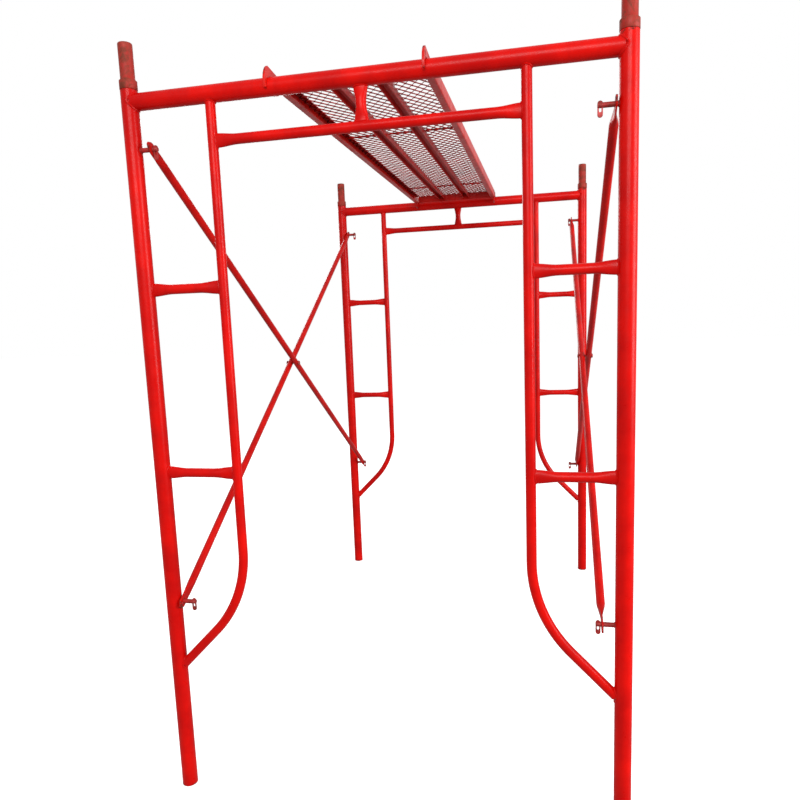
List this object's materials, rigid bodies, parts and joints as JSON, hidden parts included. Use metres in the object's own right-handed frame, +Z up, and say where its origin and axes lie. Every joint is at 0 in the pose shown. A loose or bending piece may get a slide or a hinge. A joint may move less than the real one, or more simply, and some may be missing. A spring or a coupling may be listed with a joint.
{
  "type": "frame scaffold section",
  "caption": "Walk-through frame scaffold section with cross braces, coupling pins and a hooked mesh catwalk.",
  "frame": {"origin": "bottom centre of the standing section, on the floor midway between the four legs", "axes": "+X across the frames to the right, +Y from the front frame to the rear frame, +Z up"},
  "size_m": [1.263, 1.9026, 2.0423],
  "materials": {
    "frame_tube": "glossy red enamel over steel tube, lightly streaked, welds painted over",
    "cross_brace": "glossy red enamel over thin steel tube",
    "catwalk_frame": "glossy red enamel over folded sheet steel",
    "deck_mesh": "red enamel over expanded sheet steel, worn on the strand edges",
    "coupling_pin": "dull brownish red, rubbed and rusty where the next frame slides over it",
    "brace_lock": "red overspray on plated steel, worn at the edges"
  },
  "bodies": {
    "walk_through_frames": {"front_header": "frame_tube", "front_lower_header": "frame_tube", "front_centre_post": "frame_tube", "front_left_leg": "frame_tube", "front_left_inner_tube": "frame_tube", "front_left_upper_rung": "frame_tube", "front_left_upper_stud": "brace_lock", "front_left_lower_rung": "frame_tube", "front_left_lower_stud": "brace_lock", "front_right_leg": "frame_tube", "front_right_inner_tube": "frame_tube", "front_right_upper_rung": "frame_tube", "front_right_upper_stud": "brace_lock", "front_right_lower_rung": "frame_tube", "front_right_lower_stud": "brace_lock", "rear_header": "frame_tube", "rear_lower_header": "frame_tube", "rear_centre_post": "frame_tube", "rear_left_leg": "frame_tube", "rear_left_inner_tube": "frame_tube", "rear_left_upper_rung": "frame_tube", "rear_left_upper_stud": "brace_lock", "rear_left_lower_rung": "frame_tube", "rear_left_lower_stud": "brace_lock", "rear_right_leg": "frame_tube", "rear_right_inner_tube": "frame_tube", "rear_right_upper_rung": "frame_tube", "rear_right_upper_stud": "brace_lock", "rear_right_lower_rung": "frame_tube", "rear_right_lower_stud": "brace_lock"},
    "front_left_upper_lock_body": {"front_left_upper_lock": "brace_lock"},
    "front_left_lower_lock_body": {"front_left_lower_lock": "brace_lock"},
    "front_right_upper_lock_body": {"front_right_upper_lock": "brace_lock"},
    "front_right_lower_lock_body": {"front_right_lower_lock": "brace_lock"},
    "rear_left_upper_lock_body": {"rear_left_upper_lock": "brace_lock"},
    "rear_left_lower_lock_body": {"rear_left_lower_lock": "brace_lock"},
    "rear_right_upper_lock_body": {"rear_right_upper_lock": "brace_lock"},
    "rear_right_lower_lock_body": {"rear_right_lower_lock": "brace_lock"},
    "front_left_coupling_pin_body": {"front_left_coupling_pin": "coupling_pin"},
    "front_right_coupling_pin_body": {"front_right_coupling_pin": "coupling_pin"},
    "rear_left_coupling_pin_body": {"rear_left_coupling_pin": "coupling_pin"},
    "rear_right_coupling_pin_body": {"rear_right_coupling_pin": "coupling_pin"},
    "catwalk": {"catwalk_deck": "deck_mesh", "catwalk_left_rail": "catwalk_frame", "catwalk_left_stiffener": "catwalk_frame", "catwalk_right_rail": "catwalk_frame", "catwalk_right_stiffener": "catwalk_frame", "catwalk_front_end_plate": "catwalk_frame", "catwalk_rear_end_plate": "catwalk_frame", "catwalk_front_left_hook": "catwalk_frame", "catwalk_front_right_hook": "catwalk_frame", "catwalk_rear_left_hook": "catwalk_frame", "catwalk_rear_right_hook": "catwalk_frame"},
    "left_brace_pair": {"left_outer_brace": "cross_brace", "left_inner_brace": "cross_brace", "left_brace_rivet": "brace_lock"},
    "right_brace_pair": {"right_outer_brace": "cross_brace", "right_inner_brace": "cross_brace", "right_brace_rivet": "brace_lock"}
  },
  "joints": [
    {"name": "front_left_upper_lock_swing", "type": "hinge", "parent": "walk_through_frames", "child": "front_left_upper_lock_body", "pos_m": [-0.548, -0.9145, 1.782], "axis": [0, -1, 0], "range_deg": [0, 90]},
    {"name": "front_left_lower_lock_swing", "type": "hinge", "parent": "walk_through_frames", "child": "front_left_lower_lock_body", "pos_m": [-0.548, -0.9145, 0.563], "axis": [0, -1, 0], "range_deg": [0, 90]},
    {"name": "front_right_upper_lock_swing", "type": "hinge", "parent": "walk_through_frames", "child": "front_right_upper_lock_body", "pos_m": [0.548, -0.9145, 1.782], "axis": [0, 1, 0], "range_deg": [0, 90]},
    {"name": "front_right_lower_lock_swing", "type": "hinge", "parent": "walk_through_frames", "child": "front_right_lower_lock_body", "pos_m": [0.548, -0.9145, 0.563], "axis": [0, 1, 0], "range_deg": [0, 90]},
    {"name": "rear_left_upper_lock_swing", "type": "hinge", "parent": "walk_through_frames", "child": "rear_left_upper_lock_body", "pos_m": [-0.548, 0.9145, 1.782], "axis": [0, -1, 0], "range_deg": [0, 90]},
    {"name": "rear_left_lower_lock_swing", "type": "hinge", "parent": "walk_through_frames", "child": "rear_left_lower_lock_body", "pos_m": [-0.548, 0.9145, 0.563], "axis": [0, -1, 0], "range_deg": [0, 90]},
    {"name": "rear_right_upper_lock_swing", "type": "hinge", "parent": "walk_through_frames", "child": "rear_right_upper_lock_body", "pos_m": [0.548, 0.9145, 1.782], "axis": [0, 1, 0], "range_deg": [0, 90]},
    {"name": "rear_right_lower_lock_swing", "type": "hinge", "parent": "walk_through_frames", "child": "rear_right_lower_lock_body", "pos_m": [0.548, 0.9145, 0.563], "axis": [0, 1, 0], "range_deg": [0, 90]},
    {"name": "front_left_coupling_pin_lift", "type": "slide", "parent": "walk_through_frames", "child": "front_left_coupling_pin_body", "axis": [0, 0, 1], "range_m": [0, 0.11]},
    {"name": "front_right_coupling_pin_lift", "type": "slide", "parent": "walk_through_frames", "child": "front_right_coupling_pin_body", "axis": [0, 0, 1], "range_m": [0, 0.11]},
    {"name": "rear_left_coupling_pin_lift", "type": "slide", "parent": "walk_through_frames", "child": "rear_left_coupling_pin_body", "axis": [0, 0, 1], "range_m": [0, 0.11]},
    {"name": "rear_right_coupling_pin_lift", "type": "slide", "parent": "walk_through_frames", "child": "rear_right_coupling_pin_body", "axis": [0, 0, 1], "range_m": [0, 0.11]},
    {"name": "catwalk_lift_off", "type": "slide", "parent": "walk_through_frames", "child": "catwalk", "axis": [0, 0, 1], "range_m": [0, 0.15]},
    {"name": "left_brace_pair_play", "type": "slide", "parent": "walk_through_frames", "child": "left_brace_pair", "axis": [1, 0, 0], "range_m": [-0.0015, 0.0017]},
    {"name": "right_brace_pair_play", "type": "slide", "parent": "walk_through_frames", "child": "right_brace_pair", "axis": [-1, 0, 0], "range_m": [-0.0015, 0.0017]}
  ]
}
